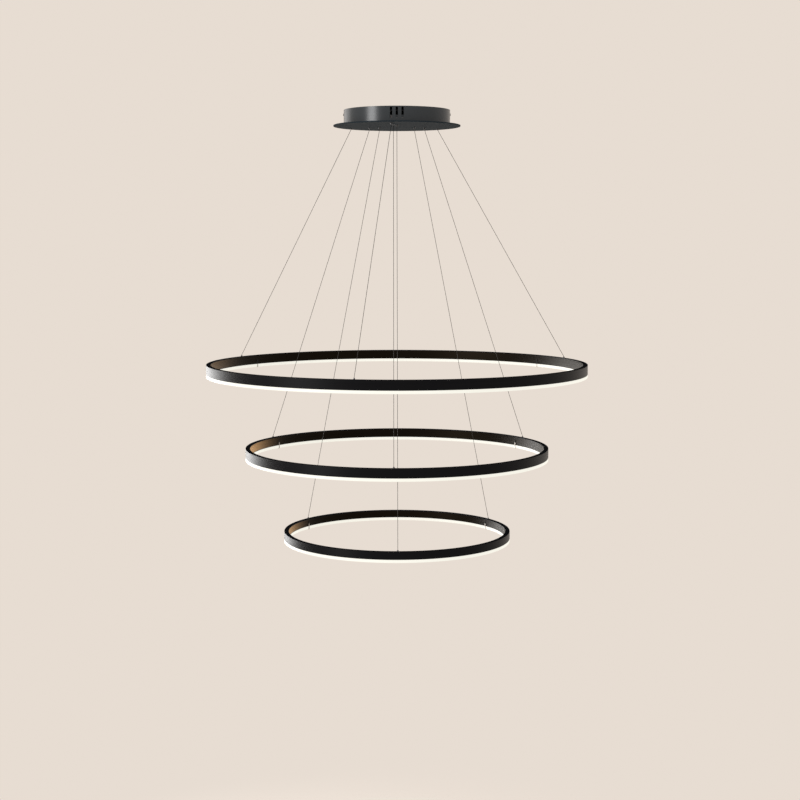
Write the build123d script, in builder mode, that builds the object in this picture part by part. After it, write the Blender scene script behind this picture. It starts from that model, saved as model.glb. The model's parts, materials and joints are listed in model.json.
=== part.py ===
"""LED ring chandelier: three hoops of light, one under the other, each hung by three wires from a
round ceiling canopy.

The origin is the centre of the face that lies against the ceiling. +Z is up, so the whole lamp
hangs below z = 0. Angles are azimuths about Z, counted from +X; 270 degrees is the front.
"""

import os
from math import atan2, cos, degrees, hypot, pi, radians, sin, sqrt

from build123d import *

# ---------------------------------------------------------------- driving dimensions, millimetres

# rings, from the top one down
RING_DIAMETER = {1: 1000.0, 2: 800.0, 3: 600.0}
RING_HEIGHT = {1: 25.0, 2: 24.0, 3: 20.0}  # of the black channel, without its diffuser
RING_DROP = {1: 616.0, 2: 838.0, 3: 1061.0}  # from the canopy's underside to the channel's top face
RING_THICKNESS = 12.0  # measured along the radius
CHANNEL_WALL = 1.5
CHANNEL_WEB = 2.0
DIFFUSER_HEIGHT = 8.0

# canopy
DISC_DIAMETER = 330.0
DISC_THICKNESS = 3.0
DRUM_DIAMETER = 276.0
DRUM_WALL = 1.2
CANOPY_HEIGHT = 42.0
CEILING_GAP = 0.5  # the drum's rim stops just short of the ceiling

# three upright vents in the front of the drum
VENT_WIDTH = 6.0
VENT_HEIGHT = 28.0
VENT_PITCH = 14.5
VENT_TOP = -3.0
VENT_COUNT = 3
VENT_CORNER = 1.6
CUT_MARGIN = 1.0  # how far a cut through the drum's wall runs past it

# suspension: for each ring the radius of its exits in the canopy, and for each of its three wires
# the azimuth of the exit and of the anchor on the ring
EXIT_RADIUS = {1: 130.0, 2: 83.0, 3: 52.0}
WIRE_AZIMUTHS = {
    1: {"a": (34.0, 21.5), "b": (158.0, 151.5), "c": (264.0, 258.5)},
    2: {"a": (30.0, 28.0), "b": (150.0, 151.0), "c": (264.0, 269.0)},
    3: {"a": (30.0, 31.0), "b": (150.0, 147.0), "c": (270.0, 270.5)},
}
WIRE_DIAMETER = 1.2
WIRE_SIDES = 6  # the strand is drawn as a prism of the round wire's section area

# wire gripper: a hexagonal body on the disc, with a smaller hexagonal spigot down through it, so
# that it can't turn; widths are across flats
GRIPPER_WIDTH = 9.0
GRIPPER_HEIGHT = 15.0
SPIGOT_WIDTH = 6.5
SPIGOT_BELOW_DISC = 1.2
PLUNGER_WIDTH = 4.4
PLUNGER_LENGTH = 10.0
PLUNGER_BORE = 1.8
PLUNGER_BELOW_SPIGOT = 3.0
PLUNGER_TRAVEL = 1.5
PLUNGER_HEADROOM = 0.5  # left above the plunger when it is pushed in
PLUNGER_CLEARANCE = 0.05  # on each side

# hexagonal anchor at the foot of each wire
ANCHOR_WIDTH = 4.4
ANCHOR_HEIGHT = 4.0

# spring clips that hold the diffuser to the channel's inner face
CLIP_WIDTH = 3.0
CLIP_THICKNESS = 0.8
CLIP_ABOVE_EDGE = 13.0
CLIP_HOOK = 4.0
CLIP_CLEARANCE = 0.01  # lets the flat strip lie on the curved wall
CLIP_AZIMUTHS = {1: (36.0, 144.0, 270.0), 2: (32.0, 148.0, 270.0), 3: (32.0, 148.0, 270.0)}

# LED boards, straight pieces laid as a polygon in the channel
BOARD_COUNT = 24
BOARD_WIDTH = 4.0
BOARD_THICKNESS = 1.2
BOARD_GAP = 2.0

# ceiling bracket and what is on it
BRACKET_LENGTH = 269.0
BRACKET_WIDTH = 32.0
BRACKET_THICKNESS = 2.0
BEND_RADIUS = 1.5  # inside the bend
TAB_DROP = 20.0
FIXING_SPACING = 180.0
FIXING_SLOT = (24.0, 5.5)  # length, width
CABLE_HOLE_DIAMETER = 16.0
CABLE_HOLE_X = 40.0
SIDE_SCREW_Z = -12.0
SIDE_SCREW_HOLE = 4.0  # diameter in the tab
SIDE_SCREW_CLEARANCE = 0.4  # more on the diameter, in the drum
SIDE_SCREW_SHANK = 3.4  # across flats
SIDE_SCREW_LENGTH = 12.0
SIDE_SCREW_HEAD = (6.0, 1.2)  # across flats, height
TERMINAL_SIZE = (40.0, 18.0, 14.0)
TERMINAL_X = -40.0
TERMINAL_WAYS = 3
TERMINAL_ENTRY = (6.0, 6.0)  # side of the square opening, depth
EARTH_SCREW_X = 64.0
EARTH_SCREW_HEAD = (7.0, 2.4)  # across flats, height

# LED drivers
DRIVER_SIZE = (104.0, 42.0, 26.0)  # along the tangent, along the radius, up
DRIVER_RADIUS = 88.0
DRIVER_AZIMUTHS = {1: 90.0, 2: 210.0, 3: 330.0}
DRIVER_FOOT = (8.0, 3.0)  # length and height of the screw-down tongue at each end
DRIVER_CHAMFER = 1.5

# ---------------------------------------------------------------- worked-out dimensions

RINGS = (1, 2, 3)
CANOPY_BOTTOM = -CANOPY_HEIGHT
DISC_TOP = CANOPY_BOTTOM + DISC_THICKNESS
DRUM_RADIUS = DRUM_DIAMETER / 2
WIRE_RADIUS = WIRE_DIAMETER / 2
SPIGOT_BOTTOM = CANOPY_BOTTOM - SPIGOT_BELOW_DISC
MOUTH_Z = SPIGOT_BOTTOM - PLUNGER_BELOW_SPIGOT  # where a wire leaves its plunger
PLUNGER_TOP = MOUTH_Z + PLUNGER_LENGTH
GRIPPER_BORE_TOP = PLUNGER_TOP + PLUNGER_TRAVEL + PLUNGER_HEADROOM


def ring_top(ring):
    """Height of the channel's top face."""
    return CANOPY_BOTTOM - RING_DROP[ring]


def ring_radii(ring):
    """Inner, middle and outer radius of the channel."""
    outer = RING_DIAMETER[ring] / 2
    return outer - RING_THICKNESS, outer - RING_THICKNESS / 2, outer


def on_circle(radius, azimuth, z=0.0):
    """A point at an azimuth on a circle about the lamp's axis."""
    return Vector(radius * cos(radians(azimuth)), radius * sin(radians(azimuth)), z)


def upright_plane(azimuth):
    """The plane through the lamp's axis at an azimuth: x runs outwards and y runs up."""
    return Plane(
        origin=(0, 0, 0),
        x_dir=on_circle(1, azimuth),
        z_dir=on_circle(1, azimuth - 90),
    )


def exit_points(ring):
    """Where the three wires of a ring leave their plungers."""
    return {
        wire: on_circle(EXIT_RADIUS[ring], angles[0], MOUTH_Z)
        for wire, angles in WIRE_AZIMUTHS[ring].items()
    }


def anchor_points(ring):
    """Centres of the three anchors' feet on the channel's top face."""
    middle = ring_radii(ring)[1]
    return {
        wire: on_circle(middle, angles[1], ring_top(ring))
        for wire, angles in WIRE_AZIMUTHS[ring].items()
    }


def hexagon(width, mode=Mode.ADD):
    """A hexagon in the open sketch, by its width across flats."""
    return RegularPolygon(width / 2, 6, major_radius=False, mode=mode)


def strand_section(stretch):
    """Corners of the strand's level section, drawn out along x by a factor."""
    step = 2 * pi / WIRE_SIDES
    corner = WIRE_RADIUS * sqrt(step / sin(step))
    return [
        (corner * stretch * cos(step * side), corner * sin(step * side)) for side in range(WIRE_SIDES)
    ]


ALL_EXITS = [point for ring in RINGS for point in exit_points(ring).values()]
EXITS_ON_PLAN = [(point.X, point.Y) for point in ALL_EXITS]

os.makedirs("parts", exist_ok=True)

# ---------------------------------------------------------------- canopy

# thin drum, open to the ceiling; its lower rim is welded to the disc all round
with BuildPart() as canopy_drum:
    with BuildSketch(Plane.XY.offset(DISC_TOP)):
        Circle(DRUM_RADIUS)
        Circle(DRUM_RADIUS - DRUM_WALL, mode=Mode.SUBTRACT)
    extrude(amount=-CEILING_GAP - DISC_TOP)
    with BuildSketch(Plane.XZ) as vents:
        with Locations((0, VENT_TOP - VENT_HEIGHT / 2)):
            with GridLocations(VENT_PITCH, 0, VENT_COUNT, 1):
                Rectangle(VENT_WIDTH, VENT_HEIGHT)
        chamfer(vents.vertices(), VENT_CORNER)
    extrude(amount=DRUM_RADIUS + CUT_MARGIN, mode=Mode.SUBTRACT)
    with BuildSketch(Plane.YZ):
        with Locations((0, SIDE_SCREW_Z)):
            Circle((SIDE_SCREW_HOLE + SIDE_SCREW_CLEARANCE) / 2)
    extrude(amount=DRUM_RADIUS + CUT_MARGIN, both=True, mode=Mode.SUBTRACT)
canopy_drum.part.label = "canopy_drum"
export_step(canopy_drum.part, "parts/canopy_drum.step")

# bottom disc, wider than the drum, with a hole for each gripper's spigot
with BuildPart() as bottom_disc:
    with BuildSketch(Plane.XY.offset(CANOPY_BOTTOM)):
        Circle(DISC_DIAMETER / 2)
        with Locations(*EXITS_ON_PLAN):
            hexagon(SPIGOT_WIDTH, mode=Mode.SUBTRACT)
    extrude(amount=DISC_THICKNESS)
bottom_disc.part.label = "bottom_disc"
export_step(bottom_disc.part, "parts/bottom_disc.step")

# ---------------------------------------------------------------- ceiling bracket

# steel strip against the ceiling, bent down at each end into a tab for a side screw
bracket_end = BRACKET_LENGTH / 2
with BuildPart() as ceiling_bracket:
    with BuildSketch(Plane.XZ) as bent_strip:
        with BuildLine():
            Polyline(
                (-bracket_end, -TAB_DROP),
                (-bracket_end, 0),
                (bracket_end, 0),
                (bracket_end, -TAB_DROP),
                (bracket_end - BRACKET_THICKNESS, -TAB_DROP),
                (bracket_end - BRACKET_THICKNESS, -BRACKET_THICKNESS),
                (BRACKET_THICKNESS - bracket_end, -BRACKET_THICKNESS),
                (BRACKET_THICKNESS - bracket_end, -TAB_DROP),
                close=True,
            )
        make_face()
        fillet(bent_strip.vertices().group_by(Axis.Y)[1], BEND_RADIUS)
        fillet(bent_strip.vertices().group_by(Axis.Y)[-1], BEND_RADIUS + BRACKET_THICKNESS)
    extrude(amount=BRACKET_WIDTH / 2, both=True)
    with BuildSketch(Plane.XY):
        with GridLocations(FIXING_SPACING, 0, 2, 1):
            SlotOverall(*FIXING_SLOT)
        with Locations((CABLE_HOLE_X, 0)):
            Circle(CABLE_HOLE_DIAMETER / 2)
    extrude(amount=-BRACKET_THICKNESS, mode=Mode.SUBTRACT)
    with BuildSketch(Plane.YZ):
        with Locations((0, SIDE_SCREW_Z)):
            Circle(SIDE_SCREW_HOLE / 2)
    extrude(amount=bracket_end, both=True, mode=Mode.SUBTRACT)
ceiling_bracket.part.label = "ceiling_bracket"
export_step(ceiling_bracket.part, "parts/ceiling_bracket.step")

# two low-headed screws through the drum's wall into the tabs
with BuildPart() as side_screws:
    with BuildSketch(Plane.YZ.offset(DRUM_RADIUS)):
        with Locations((0, SIDE_SCREW_Z)):
            hexagon(SIDE_SCREW_HEAD[0])
    extrude(amount=SIDE_SCREW_HEAD[1])
    with BuildSketch(Plane.YZ.offset(DRUM_RADIUS)):
        with Locations((0, SIDE_SCREW_Z)):
            hexagon(SIDE_SCREW_SHANK)
    extrude(amount=-SIDE_SCREW_LENGTH)
    mirror(about=Plane.YZ)
side_screws.part.label = "side_screws"
export_step(side_screws.part, "parts/side_screws.step")

# mains terminal block under the bracket, with a square wire entry for each way
with BuildPart() as terminal_block:
    with BuildSketch(Plane.XY.offset(-BRACKET_THICKNESS)):
        with Locations((TERMINAL_X, 0)):
            Rectangle(TERMINAL_SIZE[0], TERMINAL_SIZE[1])
    extrude(amount=-TERMINAL_SIZE[2])
    with BuildSketch(Plane.XZ.offset(TERMINAL_SIZE[1] / 2)):
        with Locations((TERMINAL_X, -BRACKET_THICKNESS - TERMINAL_SIZE[2] / 2)):
            with GridLocations(TERMINAL_SIZE[0] / TERMINAL_WAYS, 0, TERMINAL_WAYS, 1):
                Rectangle(TERMINAL_ENTRY[0], TERMINAL_ENTRY[0])
    extrude(amount=-TERMINAL_ENTRY[1], mode=Mode.SUBTRACT)
terminal_block.part.label = "terminal_block"
export_step(terminal_block.part, "parts/terminal_block.step")

# earth screw, its head under the bracket
with BuildPart() as earth_screw:
    with BuildSketch(Plane.XY.offset(-BRACKET_THICKNESS)):
        with Locations((EARTH_SCREW_X, 0)):
            hexagon(EARTH_SCREW_HEAD[0])
    extrude(amount=-EARTH_SCREW_HEAD[1])
earth_screw.part.label = "earth_screw"
export_step(earth_screw.part, "parts/earth_screw.step")

# ---------------------------------------------------------------- LED drivers on the disc

for number, azimuth in DRIVER_AZIMUTHS.items():
    seat = Plane(
        origin=on_circle(DRIVER_RADIUS, azimuth, DISC_TOP),
        x_dir=on_circle(1, azimuth + 90),
        z_dir=(0, 0, 1),
    )
    with BuildPart() as led_driver:
        with BuildSketch(seat):
            Rectangle(DRIVER_SIZE[0], DRIVER_SIZE[1])
        extrude(amount=DRIVER_FOOT[1])
        with BuildSketch(seat):
            Rectangle(DRIVER_SIZE[0] - 2 * DRIVER_FOOT[0], DRIVER_SIZE[1])
        extrude(amount=DRIVER_SIZE[2])
        chamfer(led_driver.edges().group_by(Axis.Z)[-1], DRIVER_CHAMFER)
    led_driver.part.label = f"led_driver_{number}"
    export_step(led_driver.part, f"parts/led_driver_{number}.step")

# ---------------------------------------------------------------- wire grippers in the disc

with BuildPart() as wire_grippers:
    with BuildSketch(Plane.XY.offset(DISC_TOP)):
        with Locations(*EXITS_ON_PLAN):
            hexagon(GRIPPER_WIDTH)
    extrude(amount=GRIPPER_HEIGHT)
    with BuildSketch(Plane.XY.offset(SPIGOT_BOTTOM)):
        with Locations(*EXITS_ON_PLAN):
            hexagon(SPIGOT_WIDTH)
    extrude(amount=DISC_TOP - SPIGOT_BOTTOM)
    with BuildSketch(Plane.XY.offset(SPIGOT_BOTTOM)):
        with Locations(*EXITS_ON_PLAN):
            hexagon(PLUNGER_WIDTH + 2 * PLUNGER_CLEARANCE)
    extrude(amount=GRIPPER_BORE_TOP - SPIGOT_BOTTOM, mode=Mode.SUBTRACT)
wire_grippers.part.label = "wire_grippers"
export_step(wire_grippers.part, "parts/wire_grippers.step")

for ring in RINGS:
    for wire, mouth in exit_points(ring).items():
        # release plunger: pushed up into the gripper, it lets the wire slip
        with BuildPart() as plunger:
            with BuildSketch(Plane(origin=mouth)):
                hexagon(PLUNGER_WIDTH)
                hexagon(PLUNGER_BORE, mode=Mode.SUBTRACT)
            extrude(amount=PLUNGER_LENGTH)
        plunger.part.label = f"plunger_{ring}{wire}"
        export_step(plunger.part, f"parts/plunger_{ring}{wire}.step")

# ---------------------------------------------------------------- suspension wires
for ring in RINGS:
    for wire, mouth in exit_points(ring).items():
        foot = anchor_points(ring)[wire] + Vector(0, 0, ANCHOR_HEIGHT)
        run = foot - mouth
        slant = atan2(hypot(run.X, run.Y), -run.Z)
        level = Plane(origin=mouth, x_dir=(run.X, run.Y, 0), z_dir=(0, 0, 1))
        # a short upright stretch in the plunger's bore, then one straight run to the anchor, cut
        # level at both ends, so that its level section is drawn out along the slant
        with BuildPart() as suspension_wire:
            with BuildSketch(level):
                Polygon(*strand_section(1.0), align=None)
            extrude(amount=GRIPPER_BORE_TOP - MOUTH_Z)
            with BuildSketch(level):
                Polygon(*strand_section(1 / cos(slant)), align=None)
            extrude(amount=run.length, dir=run.normalized())
        suspension_wire.part.label = f"wire_{ring}{wire}"
        export_step(suspension_wire.part, f"parts/wire_{ring}{wire}.step")
        length = run.length + GRIPPER_BORE_TOP - MOUTH_Z
        share = suspension_wire.part.volume / (pi * WIRE_RADIUS**2 * length)
        print(
            f"wire_{ring}{wire}: slant {degrees(slant):.1f} degrees, free run {run.length:.1f} mm, "
            f"volume over section times length {share:.3f}"
        )

# ---------------------------------------------------------------- rings

for ring in RINGS:
    inner, middle, outer = ring_radii(ring)
    top = ring_top(ring)
    edge = top - RING_HEIGHT[ring]

    # aluminium channel, open downwards
    with BuildPart() as ring_profile:
        with BuildSketch(Plane.XZ):
            with BuildLine():
                Polyline(
                    (inner, top),
                    (outer, top),
                    (outer, edge),
                    (outer - CHANNEL_WALL, edge),
                    (outer - CHANNEL_WALL, top - CHANNEL_WEB),
                    (inner + CHANNEL_WALL, top - CHANNEL_WEB),
                    (inner + CHANNEL_WALL, edge),
                    (inner, edge),
                    close=True,
                )
            make_face()
        revolve(axis=Axis.Z)
    ring_profile.part.label = f"ring_{ring}_profile"
    export_step(ring_profile.part, f"parts/ring_{ring}_profile.step")

    # opal diffuser under the channel, as wide as the channel
    with BuildPart() as diffuser:
        with BuildSketch(Plane.XY.offset(edge)):
            Circle(outer)
            Circle(inner, mode=Mode.SUBTRACT)
        extrude(amount=-DIFFUSER_HEIGHT)
    diffuser.part.label = f"ring_{ring}_diffuser"
    export_step(diffuser.part, f"parts/ring_{ring}_diffuser.step")

    # straight LED boards against the underside of the web, their corners clear of both walls
    half_angle = radians(180 / BOARD_COUNT)
    corner_radius = 2 * middle / (1 + cos(half_angle))
    board_length = 2 * corner_radius * sin(half_angle) - BOARD_GAP
    with BuildPart() as led_boards:
        with BuildSketch(Plane.XY.offset(top - CHANNEL_WEB)):
            with PolarLocations(corner_radius * cos(half_angle), BOARD_COUNT):
                Rectangle(BOARD_WIDTH, board_length)
        extrude(amount=-BOARD_THICKNESS)
    led_boards.part.label = f"ring_{ring}_led_boards"
    export_step(led_boards.part, f"parts/ring_{ring}_led_boards.step")

    # anchors on top of the channel
    with BuildPart() as wire_anchors:
        with BuildSketch(Plane.XY.offset(top)):
            with Locations(*[(foot.X, foot.Y) for foot in anchor_points(ring).values()]):
                hexagon(ANCHOR_WIDTH)
        extrude(amount=ANCHOR_HEIGHT)
    wire_anchors.part.label = f"ring_{ring}_wire_anchors"
    export_step(wire_anchors.part, f"parts/ring_{ring}_wire_anchors.step")

    # clips: a strip down the inner face and the diffuser, hooked under it
    with BuildPart() as diffuser_clips:
        for azimuth in CLIP_AZIMUTHS[ring]:
            face = inner - CLIP_CLEARANCE
            foot_z = edge - DIFFUSER_HEIGHT
            with BuildSketch(upright_plane(azimuth)):
                with BuildLine():
                    Polyline(
                        (face, edge + CLIP_ABOVE_EDGE),
                        (face - CLIP_THICKNESS, edge + CLIP_ABOVE_EDGE),
                        (face - CLIP_THICKNESS, foot_z - CLIP_THICKNESS),
                        (face + CLIP_HOOK, foot_z - CLIP_THICKNESS),
                        (face + CLIP_HOOK, foot_z),
                        (face, foot_z),
                        close=True,
                    )
                make_face()
            extrude(amount=CLIP_WIDTH / 2, both=True)
    diffuser_clips.part.label = f"ring_{ring}_diffuser_clips"
    export_step(diffuser_clips.part, f"parts/ring_{ring}_diffuser_clips.step")
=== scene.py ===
"""LED ring chandelier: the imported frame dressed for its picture.

Lengths are metres in the frame's own axes: the origin is where the canopy meets the ceiling, +Z is
up, and the canopy's vents face -Y, towards the camera.
"""

import json
from math import atan2, cos, degrees, pi, radians, sin

import bmesh
import bpy
from mathutils import Matrix, Quaternion, Vector

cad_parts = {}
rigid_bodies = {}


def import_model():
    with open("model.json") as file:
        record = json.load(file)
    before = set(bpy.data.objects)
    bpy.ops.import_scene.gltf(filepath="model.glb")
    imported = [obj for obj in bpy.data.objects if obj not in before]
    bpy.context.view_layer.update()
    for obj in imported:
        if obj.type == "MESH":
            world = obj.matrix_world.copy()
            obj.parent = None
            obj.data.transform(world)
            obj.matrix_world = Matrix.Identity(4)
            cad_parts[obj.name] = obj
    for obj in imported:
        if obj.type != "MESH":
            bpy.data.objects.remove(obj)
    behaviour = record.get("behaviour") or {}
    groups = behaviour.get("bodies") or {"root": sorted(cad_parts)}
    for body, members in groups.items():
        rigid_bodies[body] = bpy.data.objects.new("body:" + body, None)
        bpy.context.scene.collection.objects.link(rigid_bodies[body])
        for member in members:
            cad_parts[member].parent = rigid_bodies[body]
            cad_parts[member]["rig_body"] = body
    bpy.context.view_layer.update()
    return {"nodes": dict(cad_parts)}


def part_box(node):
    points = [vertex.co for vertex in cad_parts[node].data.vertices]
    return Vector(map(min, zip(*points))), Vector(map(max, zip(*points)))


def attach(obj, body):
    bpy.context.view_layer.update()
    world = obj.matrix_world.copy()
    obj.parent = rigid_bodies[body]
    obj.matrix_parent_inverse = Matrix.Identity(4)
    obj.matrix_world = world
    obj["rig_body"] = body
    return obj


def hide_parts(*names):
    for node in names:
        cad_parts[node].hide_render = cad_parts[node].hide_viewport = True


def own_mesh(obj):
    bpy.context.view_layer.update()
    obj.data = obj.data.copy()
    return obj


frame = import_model()

MM = 0.001

# ---------------------------------------------------------------- sizes shared with the frame

RINGS = (1, 2, 3)
RING_RADIUS = {1: 500 * MM, 2: 400 * MM, 3: 300 * MM}
RING_TOP = {1: -658 * MM, 2: -880 * MM, 3: -1103 * MM}
RING_HEIGHT = {1: 25 * MM, 2: 24 * MM, 3: 20 * MM}
RING_THICKNESS = 12 * MM
CHANNEL_WALL = 1.5 * MM
CHANNEL_WEB = 2 * MM
DIFFUSER_HEIGHT = 8 * MM

EXIT_RADIUS = {1: 130 * MM, 2: 83 * MM, 3: 52 * MM}
WIRE_AZIMUTHS = {  # degrees, of the exit and of the anchor
    1: {"a": (34.0, 21.5), "b": (158.0, 151.5), "c": (264.0, 258.5)},
    2: {"a": (30.0, 28.0), "b": (150.0, 151.0), "c": (264.0, 269.0)},
    3: {"a": (30.0, 31.0), "b": (150.0, 147.0), "c": (270.0, 270.5)},
}
MOUTH_Z = -46.2 * MM  # where a wire leaves its plunger
BORE_TOP = -34.2 * MM  # of a gripper's bore
PLUNGER_LENGTH = 10 * MM
WIRE_RADIUS = 0.6 * MM
ANCHOR_HEIGHT = 4 * MM
ANCHOR_CORNER = 2.54 * MM  # from the middle to a corner of the hexagon

DRIVER_AZIMUTHS = {1: 90, 2: 210, 3: 330}
DRIVER_RADIUS = 88 * MM  # from the lamp's axis to a driver's middle
TONGUE_TOP = -36 * MM  # of the screw-down tongue at each end of a driver
TONGUE_SCREW_AT = 48 * MM  # from the driver's middle
TERMINAL_WAYS = 3
CLAMP_SCREW_Y = 5.5 * MM  # each way has a clamp screw on both sides of the block's middle
CLIP_AZIMUTHS = {1: (36.0, 144.0, 270.0), 2: (32.0, 148.0, 270.0), 3: (32.0, 148.0, 270.0)}

# ---------------------------------------------------------------- camera

# lower than the canopy and higher than the rings: the disc is seen from below, the rings from above
PICTURE_SIZE = 800  # pixels
PIXELS_PER_METRE = 378  # on the lamp's axis
EYE_DISTANCE = 4.0
EYE_X = 0.008
EYE_Z = -0.342
LOOK_Z = -0.756

camera_data = bpy.data.cameras.new("camera")
camera = bpy.data.objects.new("camera", camera_data)
bpy.context.scene.collection.objects.link(camera)
bpy.context.scene.camera = camera
eye = Vector((EYE_X, -EYE_DISTANCE, EYE_Z))
sight = Vector((EYE_X, 0, LOOK_Z)) - eye
camera.location = eye
camera.rotation_euler = sight.to_track_quat("-Z", "Y").to_euler()
camera_data.lens = camera_data.sensor_width * PIXELS_PER_METRE * sight.length / PICTURE_SIZE

# ---------------------------------------------------------------- materials


class Value:
    """A socket of a material's nodes, on which sums are written as in Python."""

    def __init__(self, tree, socket=None):
        self.tree, self.socket = tree, socket

    def node(self, kind, sockets=None, out=0, **settings):
        """Adds a node and returns one of its outputs. Settings are set before sockets."""
        made = self.tree.nodes.new(kind)
        for name, setting in settings.items():
            setattr(made, name, setting)
        for name, value in (sockets or {}).items():
            entry = made.inputs[name]
            if isinstance(value, Value):
                self.tree.links.new(value.socket, entry)
            elif isinstance(value, tuple) and len(value) < len(entry.default_value):
                entry.default_value = (*value, 1.0)
            else:
                entry.default_value = value
        return Value(self.tree, made.outputs[out]) if made.outputs else made

    def math(self, operation, first, second):
        return self.node("ShaderNodeMath", {0: first, 1: second}, operation=operation)

    def output(self, name):
        """Another output of the node that this value comes from."""
        return Value(self.tree, self.socket.node.outputs[name])

    def __add__(self, other):
        return self.math("ADD", self, other)

    def __radd__(self, other):
        return self.math("ADD", other, self)

    def __rsub__(self, other):
        return self.math("SUBTRACT", other, self)

    def __mul__(self, other):
        return self.math("MULTIPLY", self, other)

    def __rmul__(self, other):
        return self.math("MULTIPLY", other, self)

    def blend(self, start, end):
        """The colour that goes from start to end as this value goes from 0 to 1."""
        return self.node(
            "ShaderNodeMix", {0: self, 6: start, 7: end}, out=2, data_type="RGBA", clamp_factor=True
        )


def new_material(name):
    """A bare material, and its place on the object in metres as a Value."""
    made = bpy.data.materials.new(name)
    made.use_nodes = True
    made.node_tree.nodes.clear()
    tree = Value(made.node_tree)
    return made, tree.node("ShaderNodeTexCoord", out="Object")


def noise(place, scale, detail, stretch=None):
    """Noise from 0 to 1. Scale is in waves per metre, and stretch multiplies it along each axis."""
    spot = place
    if stretch:
        spot = place.node("ShaderNodeVectorMath", {0: place, 1: stretch}, operation="MULTIPLY")
    return place.node(
        "ShaderNodeTexNoise", {"Vector": spot, "Scale": scale, "Detail": detail}, out="Fac"
    )


def level(place):
    """A place without its height."""
    return place.node("ShaderNodeVectorMath", {0: place, 1: (1.0, 1.0, 0.0)}, operation="MULTIPLY")


def bump(height, depth, strength):
    """A surface normal from a height that goes from 0 to 1, depth metres high."""
    return height.node(
        "ShaderNodeBump", {"Height": height, "Distance": depth, "Strength": strength}, out="Normal"
    )


def principled(place, **sockets):
    """A Principled BSDF. Socket names are written with _ for a space."""
    named = {name.replace("_", " "): value for name, value in sockets.items()}
    return place.node("ShaderNodeBsdfPrincipled", named, out="BSDF")


def surface(place, **sockets):
    """Ends a material in a Principled BSDF."""
    place.node("ShaderNodeOutputMaterial", {"Surface": principled(place, **sockets)})


def drum_paint():
    """Gloss black stove enamel with a faint orange peel."""
    made, place = new_material("drum_paint")
    cloud = noise(place, 18, 3)
    peel = noise(place, 420, 1)
    surface(
        place,
        Base_Color=cloud.blend((0.023, 0.027, 0.030), (0.031, 0.035, 0.039)),
        Roughness=0.22 + 0.08 * cloud,
        Specular_IOR_Level=0.25,
        Normal=bump(peel, 0.05 * MM, 0.35),
    )
    return made


def disc_paint():
    """A deeper black on the flat disc, dull, with a fine powder-coat grain."""
    made, place = new_material("disc_paint")
    cloud = noise(place, 14, 3)
    grain = noise(place, 1500, 2)
    surface(
        place,
        Base_Color=cloud.blend((0.013, 0.018, 0.022), (0.017, 0.023, 0.028)),
        Roughness=0.60 + 0.10 * cloud,
        Specular_IOR_Level=0.02,
        Normal=bump(grain, 0.04 * MM, 0.5),
    )
    return made


BAND_MARGIN = 1.6 * MM  # plain black above and below the satin band
GOLD_REFLECTION_FROM = {1: 0.80, 2: 0.74, 3: 0.74}  # where the painted golden reflection begins, in shares of the radius
GOLD_REFLECTION_FULL = 0.98  # and where the painted golden reflection is full on the band
GOLD_REFLECTION_RISE = 4.0  # power of the rise between the two
GOLD_REFLECTION_GLOW = {1: 0.21, 2: 1.00, 3: 0.96}  # how bright the painted golden reflection is on each ring
TOP_FACES = 0.7  # least upward part of the normal of a face that counts as top
INNER_FACES = 0.5  # and least inward part of one that counts as inner


def ring_anodised(ring):
    """Black anodising over brushed aluminium, matt on top.

    The inner face has a satin bronze band, with a painted golden reflection that grows towards -X,
    as the photo shows it.
    """
    made, place = new_material(f"ring_{ring}_anodised")
    brushing = noise(place, 3, 4, (1.0, 1.0, 420.0))
    cloud = noise(place, 9, 2)
    fleck = noise(place, 170, 3)
    outside = brushing.blend((0.0010, 0.0010, 0.0016), (0.0040, 0.0040, 0.0052))
    bronze = brushing.blend((0.005, 0.0038, 0.0026), (0.014, 0.0105, 0.007))
    # the gold that rises towards -X on the inner band is a painted reflection, not a colour of the
    # finish
    reflection_glow = GOLD_REFLECTION_GLOW[ring]
    warm = brushing.blend(
        (0.62 * reflection_glow, 0.37 * reflection_glow, 0.147 * reflection_glow), (0.98 * reflection_glow, 0.59 * reflection_glow, 0.235 * reflection_glow)
    )

    # how far the painted golden reflection has risen, from 0 to 1 towards -X
    x = place.node("ShaderNodeSeparateXYZ", {0: place}, out="X")
    z = x.output("Z")
    left = x.node(
        "ShaderNodeMapRange",
        {
            "Value": x,
            "From Min": -GOLD_REFLECTION_FROM[ring] * RING_RADIUS[ring],
            "From Max": -GOLD_REFLECTION_FULL * RING_RADIUS[ring],
        },
    )
    left = left.math("POWER", left, GOLD_REFLECTION_RISE)
    facing = place.node("ShaderNodeTexCoord", out="Normal")
    outward = level(place)
    lean = outward.node(
        "ShaderNodeVectorMath", {0: outward, 1: facing}, out="Value", operation="DOT_PRODUCT"
    )
    inward = lean.math("LESS_THAN", lean, -INNER_FACES * RING_RADIUS[ring])
    upper = z.math("LESS_THAN", z, RING_TOP[ring] - BAND_MARGIN)
    lower = z.math("GREATER_THAN", z, RING_TOP[ring] - RING_HEIGHT[ring] + BAND_MARGIN)
    band = inward * upper * lower
    upward = facing.node("ShaderNodeSeparateXYZ", {0: facing}, out="Z")
    top = upward.math("GREATER_THAN", upward, TOP_FACES)

    satin = principled(
        place,
        Base_Color=band.blend(outside, left.blend(bronze, warm)),
        Metallic=band,
        Roughness=0.25 + 0.14 * brushing + 0.05 * cloud + 0.05 * fleck + 0.08 * band,
        Specular_IOR_Level=0.08,
        Normal=bump(brushing, 0.03 * MM, 0.4),
    )
    matt = principled(
        place,
        Base_Color=cloud.blend((0.0040, 0.0040, 0.0045), (0.0070, 0.0070, 0.0078)),
        Roughness=0.70 + 0.15 * cloud,
        Specular_IOR_Level=0.0,
    )
    both = top.node("ShaderNodeMixShader", {0: top, 1: satin, 2: matt})
    place.node("ShaderNodeOutputMaterial", {"Surface": both})
    return made


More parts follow.
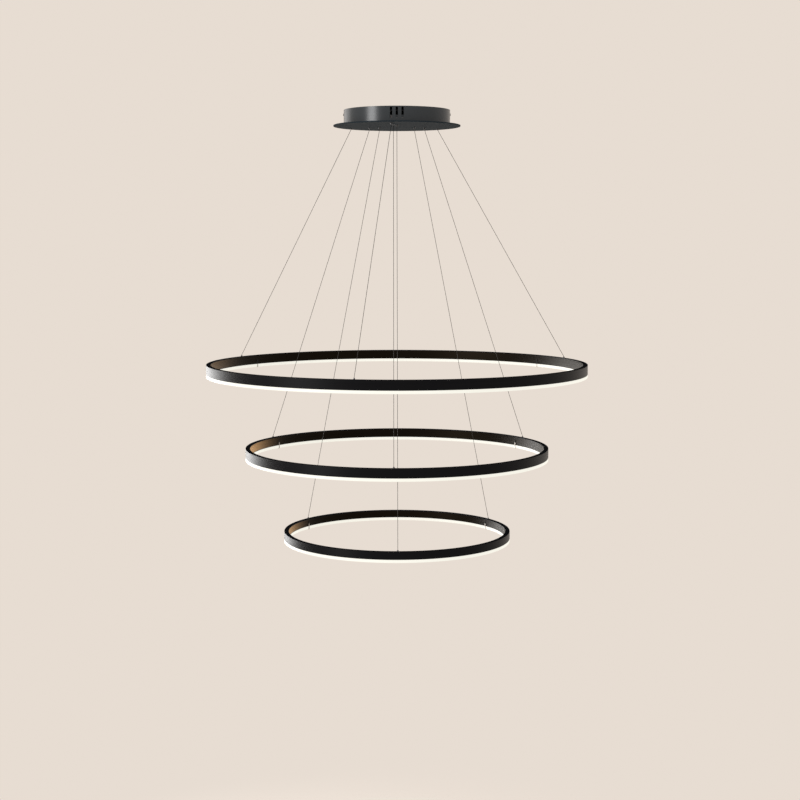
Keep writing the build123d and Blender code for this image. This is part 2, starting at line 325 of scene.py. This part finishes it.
def opal_lit():
    """Opal acrylic lit from inside, warm white and a little uneven."""
    made, place = new_material("opal_lit")
    uneven = noise(place, 11, 1)
    surface(
        place,
        Base_Color=(0.30, 0.29, 0.26),
        Roughness=0.38 + 0.06 * noise(place, 260, 2),
        Emission_Color=uneven.blend((0.95, 0.94, 0.83), (1.0, 0.99, 0.90)),
        Emission_Strength=0.66,
    )
    return made


def metal(name, colour, shade, roughness, scale, depth=0.02 * MM):
    """Bare or plated metal, a little uneven in colour and polish."""
    made, place = new_material(name)
    uneven = noise(place, scale, 3)
    fine = noise(place, 1800, 2)
    surface(
        place,
        Base_Color=uneven.blend(shade, colour),
        Metallic=1.0,
        Roughness=roughness + 0.12 * uneven,
        Normal=bump(fine, depth, 0.3),
    )
    return made


BARE_UP_TO = {1: 0.5 * MM, 2: 8.5 * MM, 3: 7.5 * MM}  # above the channel's lower edge


def clip_steel(ring):
    """Spring steel, bright on the lower part of a clip and blackened above."""
    made, place = new_material(f"clip_steel_{ring}")
    uneven = noise(place, 200, 3)
    z = place.node("ShaderNodeSeparateXYZ", {0: place}, out="Z")
    border = z + 0.8 * MM * noise(place, 900, 2)
    bare = border.math("LESS_THAN", border, RING_TOP[ring] - RING_HEIGHT[ring] + BARE_UP_TO[ring])
    bright = uneven.blend((0.34, 0.32, 0.30), (0.50, 0.48, 0.45))
    surface(
        place,
        Base_Color=bare.blend(uneven.blend((0.010, 0.010, 0.011), (0.020, 0.020, 0.021)), bright),
        Metallic=bare,
        Roughness=0.30 + 0.12 * uneven,
        Specular_IOR_Level=0.1,
        Normal=bump(uneven, 0.02 * MM, 0.3),
    )
    return made


def moulded(name, colour, shade, roughness):
    """Moulded plastic with a fine spark-eroded grain."""
    made, place = new_material(name)
    uneven = noise(place, 35, 2)
    grain = noise(place, 1600, 3)
    surface(
        place,
        Base_Color=uneven.blend(shade, colour),
        Roughness=roughness + 0.10 * grain,
        Normal=bump(grain, 0.04 * MM, 0.35),
    )
    return made


DRUM_PAINT = drum_paint()
DISC_PAINT = disc_paint()
RING_ANODISED = {ring: ring_anodised(ring) for ring in RINGS}
OPAL_LIT = opal_lit()
WIRE_STEEL = metal("wire_steel", (0.070, 0.068, 0.064), (0.032, 0.031, 0.030), 0.42, 300)
BLACK_NICKEL = metal("black_nickel", (0.11, 0.11, 0.115), (0.06, 0.06, 0.065), 0.22, 90)
CLIP_STEEL = {ring: clip_steel(ring) for ring in RINGS}
BLACK_ZINC = metal("black_zinc", (0.040, 0.040, 0.044), (0.018, 0.018, 0.020), 0.50, 45, 0.05 * MM)
BRASS = metal("brass", (0.80, 0.62, 0.28), (0.62, 0.46, 0.20), 0.28, 120)
DARK_SCREW = metal("blackened_screw", (0.06, 0.06, 0.065), (0.03, 0.03, 0.033), 0.36, 200)
NYLON = moulded("natural_nylon", (0.82, 0.81, 0.77), (0.74, 0.73, 0.69), 0.38)
DRIVER_PLASTIC = moulded("driver_plastic", (0.035, 0.035, 0.037), (0.022, 0.022, 0.024), 0.42)
BOARD_WHITE = moulded("board_white", (0.86, 0.86, 0.84), (0.80, 0.80, 0.77), 0.30)

# ---------------------------------------------------------------- making pieces

SMOOTH_UNDER = radians(32)


def on_circle(radius, azimuth, z):
    return Vector((radius * cos(radians(azimuth)), radius * sin(radians(azimuth)), z))


def finish(bm, name, material, body, nodes=(), even=True):
    """Turns a bmesh into a shaded piece that rides on a body and may stand for CAD nodes.

    Even shading keeps a large face flat up to its rounded edges.
    """
    for face in bm.faces:
        face.smooth = True
    for edge in bm.edges:
        edge.smooth = len(edge.link_faces) != 2 or edge.calc_face_angle(0) < SMOOTH_UNDER
    mesh = bpy.data.meshes.new(name)
    bm.to_mesh(mesh)
    bm.free()
    mesh.materials.append(material)
    made = bpy.data.objects.new(name, mesh)
    bpy.context.scene.collection.objects.link(made)
    if even:
        shading = made.modifiers.new("even_shading", "WEIGHTED_NORMAL")
        shading.keep_sharp = True
        shading.weight = 100
    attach(made, body)
    if nodes:
        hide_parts(*nodes)
    return made


def round_edges(bm, width, segments=2, least=radians(30)):
    """Rounds every edge that is sharper than an angle."""
    sharp = [e for e in bm.edges if len(e.link_faces) == 2 and e.calc_face_angle(0) > least]
    bmesh.ops.bevel(
        bm, geom=sharp, offset=width, offset_type="OFFSET", segments=segments, profile=0.5,
        affect="EDGES", clamp_overlap=True, material=-1,
    )


def revolve(section, steps, centre=(0, 0, 0)):
    """A closed section, given by its (radius, height) corners, turned about an upright line."""
    bm = bmesh.new()
    corners = [bm.verts.new((r, 0, z)) for r, z in section]
    for a, b in zip(corners, corners[1:] + corners[:1]):
        bm.edges.new((a, b))
    bmesh.ops.spin(
        bm, geom=bm.verts[:] + bm.edges[:], cent=(0, 0, 0), axis=(0, 0, 1), angle=2 * pi,
        steps=steps, use_merge=True,
    )
    bmesh.ops.remove_doubles(bm, verts=bm.verts[:], dist=1e-7)
    bmesh.ops.recalc_face_normals(bm, faces=bm.faces[:])
    bmesh.ops.translate(bm, verts=bm.verts[:], vec=centre)
    return bm


def cad_copy(node):
    """A welded copy of a CAD node's mesh with its flat faces in one piece."""
    bm = bmesh.new()
    bm.from_mesh(frame["nodes"][node].data)
    bmesh.ops.remove_doubles(bm, verts=bm.verts[:], dist=1e-6)
    bmesh.ops.dissolve_limit(
        bm, angle_limit=radians(0.5), verts=bm.verts[:], edges=bm.edges[:],
        use_dissolve_boundaries=False,
    )
    return bm


def dress(node, material, width, segments=2):
    """A CAD node with its edges rounded, in a material."""
    bm = cad_copy(node)
    round_edges(bm, width, segments)
    body = frame["nodes"][node]["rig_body"]
    return finish(bm, f"{node}_dressed", material, body, (node,))


def join(target, other):
    """Adds one bmesh to another and frees it."""
    mesh = bpy.data.meshes.new("join")
    other.to_mesh(mesh)
    other.free()
    target.from_mesh(mesh)
    bpy.data.meshes.remove(mesh)


def screw_head(centre, direction, radius, height):
    """A low head with a round recess, standing on a face that looks along direction."""
    bm = bmesh.new()
    bmesh.ops.create_cone(
        bm, cap_ends=True, segments=24, radius1=radius, radius2=radius * 0.86, depth=height,
        matrix=Matrix.Translation((0, 0, height / 2)),
    )
    top = max(bm.faces, key=lambda f: f.calc_center_median().z)
    bmesh.ops.inset_region(bm, faces=[top], thickness=radius * 0.45)
    made = bmesh.ops.extrude_discrete_faces(bm, faces=[top])["faces"]
    bmesh.ops.translate(bm, verts=made[0].verts[:], vec=(0, 0, -height * 0.5))
    round_edges(bm, radius * 0.08, 2, radians(50))
    bm.transform(
        Matrix.Translation(centre) @ Vector(direction).to_track_quat("Z", "Y").to_matrix().to_4x4()
    )
    return bm


DRIVER_SCREW = (2.6 * MM, 1.8 * MM)  # radius and height of a head
CLAMP_SCREW = (1.9 * MM, 0.8 * MM)
CLIP_SCREW = (1.3 * MM, 0.9 * MM)

# ---------------------------------------------------------------- suspension wires

STRANDS = 6
STRAND_LAY = 9 * MM  # length of one turn
STEPS_A_TURN = 12
STRAND_VALLEY = 0.84  # share of the radius between two strands


def twisted_strand(start, end):
    """A straight twisted strand between two points."""
    run = end - start
    turns = run.length / STRAND_LAY
    bm = bmesh.new()
    bmesh.ops.create_cone(
        bm, cap_ends=True, segments=2 * STRANDS, radius1=WIRE_RADIUS, radius2=WIRE_RADIUS,
        depth=run.length, matrix=Matrix.Translation((0, 0, run.length / 2)),
    )
    valleys = [v for v in bm.verts if round(atan2(v.co.y, v.co.x) / (pi / STRANDS)) % 2]
    bmesh.ops.scale(bm, vec=(STRAND_VALLEY, STRAND_VALLEY, 1), verts=valleys)
    long_edges = [e for e in bm.edges if e.calc_length() > run.length / 2]
    cuts = max(1, round(turns * STEPS_A_TURN) - 1)
    bmesh.ops.subdivide_edges(bm, edges=long_edges, cuts=cuts, use_grid_fill=True)
    for v in bm.verts:
        v.co.rotate(Quaternion((0, 0, 1), 2 * pi * v.co.z / STRAND_LAY))
    bm.transform(
        Matrix.Translation(start) @ run.to_track_quat("Z", "Y").to_matrix().to_4x4()
    )
    return bm


def smooth_line(points):
    """Points read from the smooth curve that has these control points."""
    curve = bpy.data.curves.new("route", "CURVE")
    curve.dimensions = "3D"
    spline = curve.splines.new("NURBS")
    spline.points.add(len(points) - 1)
    for knot, point in zip(spline.points, points):
        knot.co = (*point, 1)
    spline.order_u = 3
    spline.use_endpoint_u = True
    route = bpy.data.objects.new("route", curve)
    mesh = bpy.data.meshes.new_from_object(route)
    line = [v.co.copy() for v in mesh.vertices]
    bpy.data.meshes.remove(mesh)
    bpy.data.objects.remove(route)
    bpy.data.curves.remove(curve)
    return line


stubs = bmesh.new()
for ring in RINGS:
    for letter, (exit_azimuth, anchor_azimuth) in WIRE_AZIMUTHS[ring].items():
        mouth = on_circle(EXIT_RADIUS[ring], exit_azimuth, MOUTH_Z)
        foot = on_circle(
            RING_RADIUS[ring] - RING_THICKNESS / 2, anchor_azimuth, RING_TOP[ring] + ANCHOR_HEIGHT
        )
        # the wire is pulled straight from its plunger's mouth to its anchor
        line = smooth_line([mouth, mouth.lerp(foot, 0.5), foot])
        wire = finish(
            twisted_strand(line[0], line[-1]), f"wire_{ring}{letter}_strand", WIRE_STEEL, "canopy",
            (f"wire_{ring}{letter}",), even=False,
        )
        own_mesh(wire)
        join(stubs, twisted_strand(mouth + Vector((0, 0, BORE_TOP - MOUTH_Z)), mouth))
finish(stubs, "wires_in_grippers", WIRE_STEEL, "canopy", even=False)

# ---------------------------------------------------------------- canopy

dress("canopy_drum", DRUM_PAINT, 0.25 * MM)
dress("bottom_disc", DISC_PAINT, 0.5 * MM, 3)
dress("ceiling_bracket", BLACK_ZINC, 0.3 * MM)
dress("terminal_block", NYLON, 0.5 * MM)
dress("earth_screw", BRASS, 0.4 * MM)
dress("side_screws", DRUM_PAINT, 0.4 * MM)
dress("wire_grippers", BLACK_NICKEL, 0.35 * MM)

driver_screws = bmesh.new()
for number, azimuth in DRIVER_AZIMUTHS.items():
    dress(f"led_driver_{number}", DRIVER_PLASTIC, 0.8 * MM, 3)
    middle = on_circle(DRIVER_RADIUS, azimuth, TONGUE_TOP)
    along = on_circle(1, azimuth + 90, 0)
    for end in (-1, 1):
        spot = middle + along * end * TONGUE_SCREW_AT
        join(driver_screws, screw_head(spot, (0, 0, 1), *DRIVER_SCREW))
finish(driver_screws, "driver_screws", DARK_SCREW, "canopy")

clamp_screws = bmesh.new()
block_low, block_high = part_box("terminal_block")
for way in range(TERMINAL_WAYS):
    at_x = block_low[0] + (block_high[0] - block_low[0]) * (way + 0.5) / TERMINAL_WAYS
    for at_y in (-CLAMP_SCREW_Y, CLAMP_SCREW_Y):
        join(clamp_screws, screw_head((at_x, at_y, block_low[2]), (0, 0, -1), *CLAMP_SCREW))
finish(clamp_screws, "clamp_screws", BRASS, "canopy")

BORE, SHANK, COLLAR = 0.95 * MM, 1.7 * MM, 2.1 * MM  # radii of a plunger
PLUNGER_SECTION = [
    (BORE, 0), (SHANK, 0), (COLLAR, 0.5 * MM), (COLLAR, 1.9 * MM), (SHANK, 2.3 * MM),
    (SHANK, PLUNGER_LENGTH), (BORE, PLUNGER_LENGTH),
]
SMALL_STEPS = 32  # faces around a small turned piece

for ring in RINGS:
    for letter, (azimuth, _) in WIRE_AZIMUTHS[ring].items():
        tube = revolve(
            PLUNGER_SECTION, SMALL_STEPS, on_circle(EXIT_RADIUS[ring], azimuth, MOUTH_Z)
        )
        round_edges(tube, 0.12 * MM)
        name = f"plunger_{ring}{letter}"
        finish(tube, f"{name}_turned", BLACK_NICKEL, name, (name,))

# ---------------------------------------------------------------- rings

RING_STEPS = 256  # faces around a ring
NUT_HEIGHT = 2.6 * MM
FERRULE_SECTION = [  # a blunt cone on the nut, up to the foot of the wire
    (0.4 * MM, 2.5 * MM), (1.9 * MM, 2.5 * MM), (1.7 * MM, 3.2 * MM), (1.0 * MM, 3.9 * MM),
    (0.4 * MM, ANCHOR_HEIGHT),
]
CLIP_SCREW_BESIDE = 5.6 * MM  # from a clip's middle, along the channel
CLIP_SCREW_UP = 5 * MM  # above the channel's lower edge

for ring in RINGS:
    outer = RING_RADIUS[ring]
    inner = outer - RING_THICKNESS
    top = RING_TOP[ring]
    edge = top - RING_HEIGHT[ring]
    body = f"ring_{ring}"

    channel = revolve(
        [
            (inner, top), (outer, top), (outer, edge), (outer - CHANNEL_WALL, edge),
            (outer - CHANNEL_WALL, top - CHANNEL_WEB), (inner + CHANNEL_WALL, top - CHANNEL_WEB),
            (inner + CHANNEL_WALL, edge), (inner, edge),
        ],
        RING_STEPS,
    )
    round_edges(channel, 0.4 * MM)
    finish(channel, f"{body}_channel", RING_ANODISED[ring], body, (f"{body}_profile",))

    foot_z = edge - DIFFUSER_HEIGHT
    opal = revolve([(inner, edge), (outer, edge), (outer, foot_z), (inner, foot_z)], RING_STEPS)
    lower = [
        e for e in opal.edges
        if len(e.link_faces) == 2 and e.calc_face_angle(0) > radians(60)
        and all(abs(v.co.z - foot_z) < 1e-6 for v in e.verts)
    ]
    bmesh.ops.bevel(
        opal, geom=lower, offset=1.6 * MM, segments=4, profile=0.5, affect="EDGES", material=-1
    )
    finish(opal, f"{body}_opal", OPAL_LIT, body, (f"{body}_diffuser",))

    # the boards are shut in between channel and diffuser, so their CAD mesh only gets a material
    boards = frame["nodes"][f"{body}_led_boards"].data.materials
    boards.clear()
    boards.append(BOARD_WHITE)

    dress(f"{body}_diffuser_clips", CLIP_STEEL[ring], 0.25 * MM)
    heads = bmesh.new()
    for azimuth in CLIP_AZIMUTHS[ring]:
        side = -1 if 90 < azimuth < 180 else 1
        beside = azimuth - side * degrees(CLIP_SCREW_BESIDE / inner)
        spot = on_circle(inner, beside, edge + CLIP_SCREW_UP)
        join(heads, screw_head(spot, -on_circle(1, beside, 0), *CLIP_SCREW))
    finish(heads, f"{body}_clip_screws", DARK_SCREW, body)

    feet = bmesh.new()
    for _, azimuth in WIRE_AZIMUTHS[ring].values():
        foot = on_circle(outer - RING_THICKNESS / 2, azimuth, top)
        nut = bmesh.new()
        bmesh.ops.create_cone(
            nut, cap_ends=True, segments=6, radius1=ANCHOR_CORNER, radius2=ANCHOR_CORNER,
            depth=NUT_HEIGHT, matrix=Matrix.Translation(foot + Vector((0, 0, NUT_HEIGHT / 2))),
        )
        round_edges(nut, 0.25 * MM)
        join(feet, nut)
        join(feet, revolve(FERRULE_SECTION, SMALL_STEPS, foot))
    finish(feet, f"{body}_anchors", BLACK_NICKEL, body, (f"{body}_wire_anchors",))

# ---------------------------------------------------------------- floor, background and lamps

BACKGROUND = (0.80, 0.72, 0.645)
AMBIENT = (0.80, 0.79, 0.78)
FLOOR_Z = -2.3
FLOOR_RADIUS = 3.4
FADE_FROM, FADE_TO = 0.18 * FLOOR_RADIUS, 0.46 * FLOOR_RADIUS  # where the floor turns clear
# the dark colour of the painted shade inside the canopy
SHADE = (0.012, 0.011, 0.010)
CEILING_Z = -0.52 * MM  # level with the drum's rim, so that no daylight shows between them
CEILING_RADIUS = 136.9 * MM


def stage_disc(name, radius, z, material):
    """A round sheet that isn't part of the lamp."""
    bm = bmesh.new()
    bmesh.ops.create_circle(bm, cap_ends=True, segments=96, radius=radius)
    bmesh.ops.translate(bm, verts=bm.verts[:], vec=(0, 0, z))
    mesh = bpy.data.meshes.new(name)
    bm.to_mesh(mesh)
    bm.free()
    mesh.materials.append(material)
    disc = bpy.data.objects.new(name, mesh)
    bpy.context.scene.collection.objects.link(disc)


def sheet(name, colour, clear):
    """A matt stage material; clear gives, from a place, the share that is see-through."""
    made, place = new_material(name)
    matt = place.node("ShaderNodeBsdfDiffuse", {"Color": colour})
    gap = place.node("ShaderNodeBsdfTransparent")
    cover = place.node("ShaderNodeMixShader", {0: clear(place), 1: matt, 2: gap})
    place.node("ShaderNodeOutputMaterial", {"Surface": cover})
    return made


def floor_clear(place):
    """The floor fades out far from the lamp and can be seen through from below."""
    radius = place.node("ShaderNodeVectorMath", {0: level(place)}, out="Value", operation="LENGTH")
    fade = radius.node(
        "ShaderNodeMapRange",
        {"Value": radius, "From Min": FADE_FROM, "From Max": FADE_TO},
        interpolation_type="SMOOTHSTEP",
    )
    return fade.math("MAXIMUM", fade, place.node("ShaderNodeNewGeometry", out="Backfacing"))


def painted_shade_clear(place):
    """The patch of ceiling over the canopy shows only to a camera below it, as through the vents:
    painted shade inside the canopy.
    """
    below = place.node("ShaderNodeNewGeometry", out="Backfacing")
    return 1 - below * place.node("ShaderNodeLightPath", out="Is Camera Ray")


stage_disc("floor", FLOOR_RADIUS, FLOOR_Z, sheet("pale_floor", BACKGROUND, floor_clear))
# a dark sheet that only the camera sees, which paints shade into the canopy behind its vents
stage_disc("ceiling", CEILING_RADIUS, CEILING_Z, sheet("shaded_ceiling", SHADE, painted_shade_clear))

world = bpy.data.worlds.new("studio")
world.use_nodes = True
world.node_tree.nodes.clear()
bpy.context.scene.world = world
sky = Value(world.node_tree)
# the camera, reflections and refractions see the background's colour, and all else is lit neutrally
seen = sky.node("ShaderNodeLightPath", out="Is Camera Ray")
mirrored = sky.node("ShaderNodeLightPath", out="Is Glossy Ray")
through = sky.node("ShaderNodeLightPath", out="Is Transmission Ray")
shown = seen.math("MAXIMUM", seen.math("MAXIMUM", seen, mirrored), through)
backdrop = sky.node("ShaderNodeBackground", {"Color": BACKGROUND, "Strength": 1.0})
ambient = sky.node("ShaderNodeBackground", {"Color": AMBIENT, "Strength": 1.0})
both = sky.node("ShaderNodeMixShader", {0: shown, 1: ambient, 2: backdrop})
sky.node("ShaderNodeOutputWorld", {"Surface": both})


def softbox(name, place, aim, size, power):
    """A rectangular lamp that the camera doesn't see."""
    data = bpy.data.lights.new(name, "AREA")
    data.shape = "RECTANGLE"
    data.size, data.size_y = size
    data.energy = power
    lamp = bpy.data.objects.new(name, data)
    bpy.context.scene.collection.objects.link(lamp)
    lamp.location = place
    lamp.rotation_euler = (Vector(aim) - Vector(place)).to_track_quat("-Z", "Y").to_euler()
    lamp.visible_camera = False


# gloss on the drum and on the rings, from the left in front and behind, and a soft light from above
DRUM_AT, RINGS_AT = (0, 0, 0), (0, 0, -0.9)
softbox("drum_front", (-2.59, -1.88, 0.20), DRUM_AT, (1.0, 0.7), 50)
softbox("drum_back", (-2.26, 2.26, 0.20), DRUM_AT, (2.0, 0.7), 5)
softbox("hoops_front", (-2.59, -1.88, -1.30), RINGS_AT, (1.3, 1.4), 15)
softbox("hoops_back", (-2.26, 2.26, -1.30), RINGS_AT, (2.0, 1.4), 48)
softbox("above", (2.2, -2.6, 2.2), (0, 0, -0.5), (2.0, 2.0), 18)

bpy.context.scene.view_settings.view_transform = "Standard"

# ---------------------------------------------------------------- end

bpy.context.view_layer.update()
